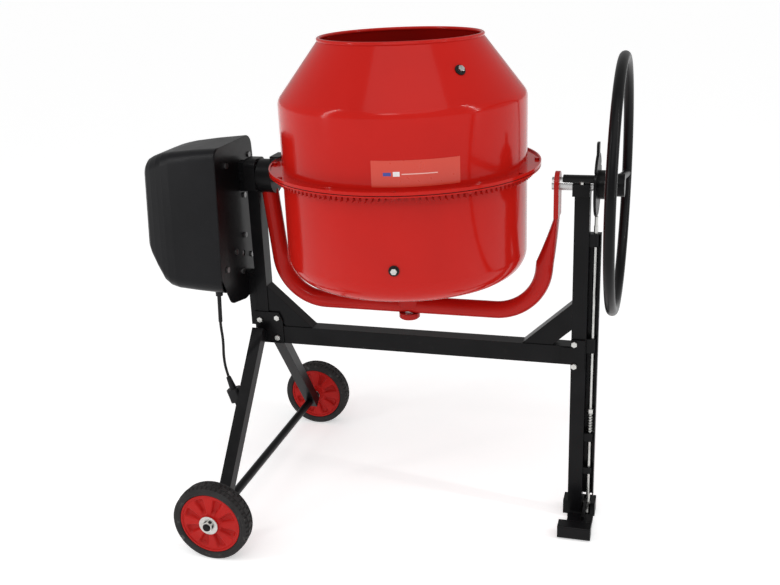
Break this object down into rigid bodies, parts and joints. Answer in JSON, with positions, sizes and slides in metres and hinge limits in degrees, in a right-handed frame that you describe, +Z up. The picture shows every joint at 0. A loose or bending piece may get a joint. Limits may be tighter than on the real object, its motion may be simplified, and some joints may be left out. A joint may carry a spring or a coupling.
{
  "type": "concrete mixer",
  "caption": "Electric concrete mixer with a tilting steel drum on a ring gear, tube yoke, tilt handwheel and foot lock, on a wheeled frame.",
  "frame": {"origin": "centre of the footprint on the floor", "axes": "+Z up; X along the tilt axis from the motor to the handwheel; +Y to the rear"},
  "size_m": [1.17, 0.824, 1.2025],
  "materials": {
    "red_paint": "gloss",
    "black_paint": "gloss",
    "zinc": "satin",
    "steel": "satin",
    "bronze": "satin",
    "black_plastic": "matt",
    "red_plastic": "satin",
    "green_plastic": "satin",
    "tyre": "matt",
    "rubber": "matt",
    "cast_aluminium": "matt",
    "label": "satin"
  },
  "bodies": {
    "stand": {"cross_beam": "black_paint", "left_column": "black_paint", "right_column": "black_paint", "left_brace": "black_paint", "right_brace": "black_paint", "front_leg": "black_paint", "rear_leg": "black_paint", "gusset_plates": "black_paint", "frame_bolts": "zinc", "wheel_axle": "zinc", "axle_nuts": "zinc", "foot_shoe": "black_paint", "left_bearing_bush": "bronze", "right_bearing_cap": "black_paint", "rod_guides": "black_paint", "motor_plate": "black_paint", "motor_cover": "black_plastic", "housing_screws": "zinc", "motor_case": "cast_aluminium", "capacitor": "black_plastic", "switch_box": "black_plastic", "drive_belt": "rubber", "cord_gland": "black_plastic", "power_cord": "rubber", "power_plug": "black_plastic", "pedal_pin": "zinc"},
    "yoke": {"yoke_tube": "red_paint", "left_hub": "black_paint", "pinion_bushes": "bronze", "drum_spindle": "steel", "spindle_nut": "zinc", "right_trunnion_shaft": "steel", "index_plate": "black_paint", "handwheel": "black_paint"},
    "drum": {"lower_drum": "red_paint", "upper_drum": "red_paint", "flange_gasket": "rubber", "ring_gear": "red_paint", "drum_bolts": "zinc", "drum_hub": "red_paint", "drum_bearings": "steel", "front_blade": "red_paint", "rear_blade": "red_paint", "blade_bolts": "zinc", "blade_washers": "rubber", "drum_label": "label"},
    "drive_shaft": {"pinion": "steel", "pinion_shaft": "steel", "large_pulley": "black_paint"},
    "rotor": {"motor_rotor": "steel", "small_pulley": "steel"},
    "front_wheel": {"front_tyre": "tyre", "front_wheel_disc": "red_plastic"},
    "rear_wheel": {"rear_tyre": "tyre", "rear_wheel_disc": "red_plastic"},
    "lock": {"lock_rod": "zinc", "lock_spring": "zinc"},
    "pedal": {"foot_pedal": "black_paint"},
    "start_button": {"start_button": "green_plastic"},
    "stop_button": {"stop_button": "red_plastic"}
  },
  "joints": [
    {"name": "tilt", "type": "hinge", "parent": "stand", "child": "yoke", "pos_m": [0.071, 0, 0.863], "axis": [1, 0, 0], "range_deg": [-120, 120]},
    {"name": "drum_spin", "type": "hinge", "parent": "yoke", "child": "drum", "pos_m": [0.071, 0, 0.613], "axis": [0, 0, 1], "continuous": true},
    {"name": "drive_spin", "type": "hinge", "parent": "yoke", "child": "drive_shaft", "pos_m": [-0.329, 0, 0.863], "axis": [1, 0, 0], "continuous": true},
    {"name": "motor_spin", "type": "hinge", "parent": "stand", "child": "rotor", "pos_m": [-0.429, -0.03, 0.668], "axis": [1, 0, 0], "continuous": true},
    {"name": "front_wheel_roll", "type": "hinge", "parent": "stand", "child": "front_wheel", "pos_m": [-0.336, -0.3725, 0.097], "axis": [0, 1, 0], "continuous": true},
    {"name": "rear_wheel_roll", "type": "hinge", "parent": "stand", "child": "rear_wheel", "pos_m": [-0.336, 0.3725, 0.097], "axis": [0, 1, 0], "continuous": true},
    {"name": "pedal_press", "type": "hinge", "parent": "stand", "child": "pedal", "pos_m": [0.517, 0.025, 0.022], "axis": [-1, 0, 0], "range_deg": [0, 16]},
    {"name": "lock_slide", "type": "slide", "parent": "stand", "child": "lock", "axis": [0, 0, 1], "range_m": [0, 0.0072], "deforming": ["lock_spring"]},
    {"name": "start_press", "type": "slide", "parent": "stand", "child": "start_button", "axis": [1, 0, 0], "range_m": [0, 0.003], "stiffness_N_per_m": 300},
    {"name": "stop_press", "type": "slide", "parent": "stand", "child": "stop_button", "axis": [1, 0, 0], "range_m": [0, 0.003], "stiffness_N_per_m": 300}
  ],
  "couplings": [
    {"joint": "drive_spin", "follows": "drum_spin", "ratio": 13.6},
    {"joint": "motor_spin", "follows": "drum_spin", "ratio": 95.2},
    {"joint": "lock_slide", "follows": "pedal_press", "m_per_rad": 0.025}
  ]
}
